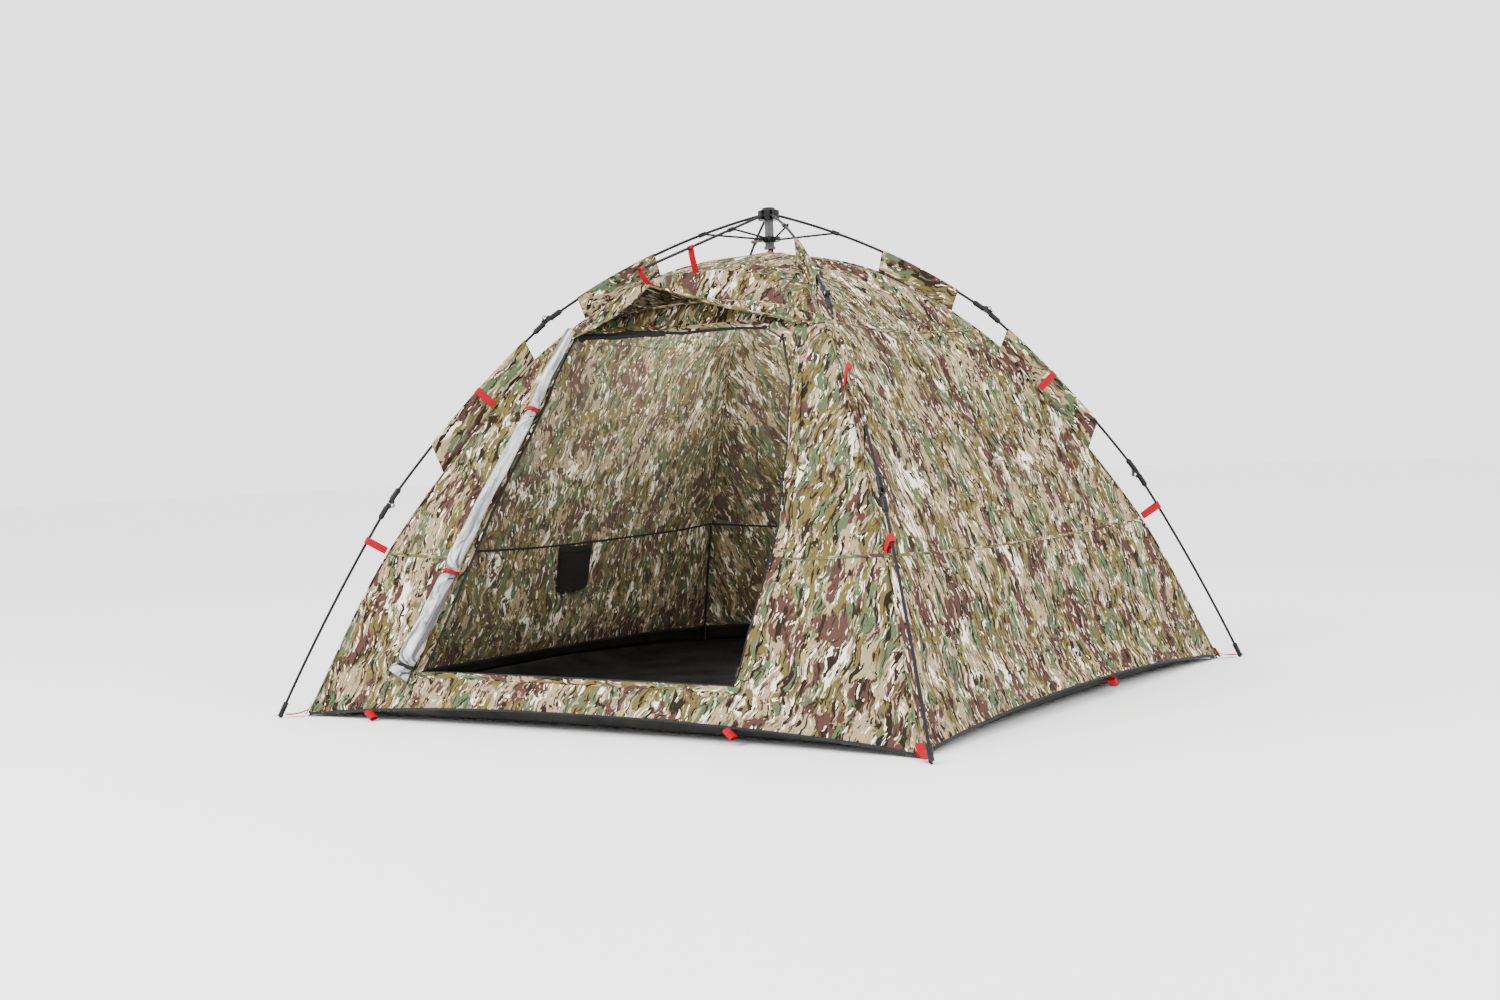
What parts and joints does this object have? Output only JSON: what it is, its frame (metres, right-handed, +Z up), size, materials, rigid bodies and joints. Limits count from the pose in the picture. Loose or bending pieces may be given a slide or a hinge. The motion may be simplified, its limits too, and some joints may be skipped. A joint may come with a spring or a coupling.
{
  "type": "pop up ground blind",
  "caption": "Square pop-up ground blind: camouflage dome canopy hung under an outside folding pole frame, with a wide D-shaped door, small awning and sewn-in floor.",
  "frame": {"origin": "centre of the footprint, on the ground", "axes": "+Z up, -Y towards the door side, +X to the right of someone facing the door from outside"},
  "size_m": [2.4346, 2.4346, 1.647],
  "materials": {
    "black_plastic": "satin",
    "fibreglass_pole": "satin",
    "steel": "satin",
    "camo_fabric": "matte",
    "floor_fabric": "matte",
    "door_lining": "matte",
    "red_webbing": "matte",
    "black_mesh": "matte"
  },
  "bodies": {
    "canopy": {"ground_floor": "floor_fabric", "wall_front": "camo_fabric", "wall_right": "camo_fabric", "wall_back": "camo_fabric", "wall_left": "camo_fabric", "roof": "camo_fabric", "brow_awning": "camo_fabric", "door_roll": "door_lining", "pole_sleeves": "camo_fabric", "webbing_straps": "red_webbing", "mesh_pocket": "black_mesh"},
    "hub": {"hub_body": "black_plastic", "hub_cap": "black_plastic", "hub_shaft": "black_plastic", "hub_pins": "steel"},
    "runner": {"runner": "black_plastic", "runner_pins": "steel"},
    "upper_a": {"upper_pole_a": "fibreglass_pole", "pole_clip_a": "black_plastic", "upper_elbow_fork_a": "black_plastic"},
    "middle_a": {"upper_elbow_tongue_a": "black_plastic", "middle_pole_a": "fibreglass_pole", "lower_elbow_fork_a": "black_plastic"},
    "lower_a": {"lower_elbow_tongue_a": "black_plastic", "lower_pole_a": "fibreglass_pole", "foot_cap_a": "black_plastic"},
    "strut_a": {"strut_a": "fibreglass_pole"},
    "upper_b": {"upper_pole_b": "fibreglass_pole", "pole_clip_b": "black_plastic", "upper_elbow_fork_b": "black_plastic"},
    "middle_b": {"upper_elbow_tongue_b": "black_plastic", "middle_pole_b": "fibreglass_pole", "lower_elbow_fork_b": "black_plastic"},
    "lower_b": {"lower_elbow_tongue_b": "black_plastic", "lower_pole_b": "fibreglass_pole", "foot_cap_b": "black_plastic"},
    "strut_b": {"strut_b": "fibreglass_pole"},
    "upper_c": {"upper_pole_c": "fibreglass_pole", "pole_clip_c": "black_plastic", "upper_elbow_fork_c": "black_plastic"},
    "middle_c": {"upper_elbow_tongue_c": "black_plastic", "middle_pole_c": "fibreglass_pole", "lower_elbow_fork_c": "black_plastic"},
    "lower_c": {"lower_elbow_tongue_c": "black_plastic", "lower_pole_c": "fibreglass_pole", "foot_cap_c": "black_plastic"},
    "strut_c": {"strut_c": "fibreglass_pole"},
    "upper_d": {"upper_pole_d": "fibreglass_pole", "pole_clip_d": "black_plastic", "upper_elbow_fork_d": "black_plastic"},
    "middle_d": {"upper_elbow_tongue_d": "black_plastic", "middle_pole_d": "fibreglass_pole", "lower_elbow_fork_d": "black_plastic"},
    "lower_d": {"lower_elbow_tongue_d": "black_plastic", "lower_pole_d": "fibreglass_pole", "foot_cap_d": "black_plastic"},
    "strut_d": {"strut_d": "fibreglass_pole"},
    "brow": {"brow_pole": "fibreglass_pole", "brow_pole_clip": "black_plastic"},
    "brow_strut": {"brow_strut": "fibreglass_pole"}
  },
  "joints": [
    {"name": "hub_drop", "type": "slide", "parent": "canopy", "child": "hub", "axis": [0, 0, -1], "range_m": [0, 0.742], "deforming": ["wall_front", "wall_right", "wall_back", "wall_left", "roof", "brow_awning", "door_roll", "pole_sleeves", "webbing_straps", "mesh_pocket"]},
    {"name": "runner_slide", "type": "slide", "parent": "hub", "child": "runner", "axis": [0, 0, 1], "range_m": [0, 0.058]},
    {"name": "upper_a_fold", "type": "hinge", "parent": "hub", "child": "upper_a", "pos_m": [-0.0198, -0.0198, 1.622], "axis": [0.7071, -0.7071, 0], "range_deg": [0, 58.9]},
    {"name": "middle_a_fold", "type": "hinge", "parent": "upper_a", "child": "middle_a", "pos_m": [-0.55372, -0.55372, 1.28718], "axis": [-0.7071, 0.7071, 0], "range_deg": [0, 184.5]},
    {"name": "lower_a_fold", "type": "hinge", "parent": "middle_a", "child": "lower_a", "pos_m": [-0.92582, -0.92582, 0.6806], "axis": [0.7071, -0.7071, 0], "range_deg": [0, 158]},
    {"name": "strut_a_swing", "type": "hinge", "parent": "runner", "child": "strut_a", "pos_m": [-0.01308, -0.02934, 1.54], "axis": [0.7071, -0.7071, 0], "range_deg": [0, 80]},
    {"name": "upper_b_fold", "type": "hinge", "parent": "hub", "child": "upper_b", "pos_m": [0.0198, -0.0198, 1.622], "axis": [0.7071, 0.7071, 0], "range_deg": [0, 58.9]},
    {"name": "middle_b_fold", "type": "hinge", "parent": "upper_b", "child": "middle_b", "pos_m": [0.55372, -0.55372, 1.28718], "axis": [-0.7071, -0.7071, 0], "range_deg": [0, 184.5]},
    {"name": "lower_b_fold", "type": "hinge", "parent": "middle_b", "child": "lower_b", "pos_m": [0.92582, -0.92582, 0.6806], "axis": [0.7071, 0.7071, 0], "range_deg": [0, 158]},
    {"name": "strut_b_swing", "type": "hinge", "parent": "runner", "child": "strut_b", "pos_m": [0.02934, -0.01308, 1.54], "axis": [0.7071, 0.7071, 0], "range_deg": [0, 80]},
    {"name": "upper_c_fold", "type": "hinge", "parent": "hub", "child": "upper_c", "pos_m": [0.0198, 0.0198, 1.622], "axis": [-0.7071, 0.7071, 0], "range_deg": [0, 58.9]},
    {"name": "middle_c_fold", "type": "hinge", "parent": "upper_c", "child": "middle_c", "pos_m": [0.55372, 0.55372, 1.28718], "axis": [0.7071, -0.7071, 0], "range_deg": [0, 184.5]},
    {"name": "lower_c_fold", "type": "hinge", "parent": "middle_c", "child": "lower_c", "pos_m": [0.92582, 0.92582, 0.6806], "axis": [-0.7071, 0.7071, 0], "range_deg": [0, 158]},
    {"name": "strut_c_swing", "type": "hinge", "parent": "runner", "child": "strut_c", "pos_m": [0.01308, 0.02934, 1.54], "axis": [-0.7071, 0.7071, 0], "range_deg": [0, 80]},
    {"name": "upper_d_fold", "type": "hinge", "parent": "hub", "child": "upper_d", "pos_m": [-0.0198, 0.0198, 1.622], "axis": [-0.7071, -0.7071, 0], "range_deg": [0, 58.9]},
    {"name": "middle_d_fold", "type": "hinge", "parent": "upper_d", "child": "middle_d", "pos_m": [-0.55372, 0.55372, 1.28718], "axis": [0.7071, 0.7071, 0], "range_deg": [0, 184.5]},
    {"name": "lower_d_fold", "type": "hinge", "parent": "middle_d", "child": "lower_d", "pos_m": [-0.92582, 0.92582, 0.6806], "axis": [-0.7071, -0.7071, 0], "range_deg": [0, 158]},
    {"name": "strut_d_swing", "type": "hinge", "parent": "runner", "child": "strut_d", "pos_m": [-0.02934, 0.01308, 1.54], "axis": [-0.7071, -0.7071, 0], "range_deg": [0, 80]},
    {"name": "brow_fold", "type": "hinge", "parent": "hub", "child": "brow", "pos_m": [0, -0.028, 1.622], "axis": [1, 0, 0], "range_deg": [0, 66.3]},
    {"name": "brow_strut_swing", "type": "hinge", "parent": "runner", "child": "brow_strut", "pos_m": [0.0115, -0.03, 1.54], "axis": [1, 0, 0], "range_deg": [0, 88]}
  ],
  "couplings": [
    {"joint": "runner_slide", "follows": "hub_drop", "ratio": 0.0781},
    {"joint": "upper_a_fold", "follows": "hub_drop", "rad_per_m": 1.3854},
    {"joint": "middle_a_fold", "follows": "hub_drop", "rad_per_m": 4.3398},
    {"joint": "lower_a_fold", "follows": "hub_drop", "rad_per_m": 3.7165},
    {"joint": "strut_a_swing", "follows": "hub_drop", "rad_per_m": 1.8818},
    {"joint": "upper_b_fold", "follows": "hub_drop", "rad_per_m": 1.3854},
    {"joint": "middle_b_fold", "follows": "hub_drop", "rad_per_m": 4.3398},
    {"joint": "lower_b_fold", "follows": "hub_drop", "rad_per_m": 3.7165},
    {"joint": "strut_b_swing", "follows": "hub_drop", "rad_per_m": 1.8818},
    {"joint": "upper_c_fold", "follows": "hub_drop", "rad_per_m": 1.3854},
    {"joint": "middle_c_fold", "follows": "hub_drop", "rad_per_m": 4.3398},
    {"joint": "lower_c_fold", "follows": "hub_drop", "rad_per_m": 3.7165},
    {"joint": "strut_c_swing", "follows": "hub_drop", "rad_per_m": 1.8818},
    {"joint": "upper_d_fold", "follows": "hub_drop", "rad_per_m": 1.3854},
    {"joint": "middle_d_fold", "follows": "hub_drop", "rad_per_m": 4.3398},
    {"joint": "lower_d_fold", "follows": "hub_drop", "rad_per_m": 3.7165},
    {"joint": "strut_d_swing", "follows": "hub_drop", "rad_per_m": 1.8818},
    {"joint": "brow_fold", "follows": "hub_drop", "rad_per_m": 1.5595},
    {"joint": "brow_strut_swing", "follows": "hub_drop", "rad_per_m": 2.0699}
  ]
}
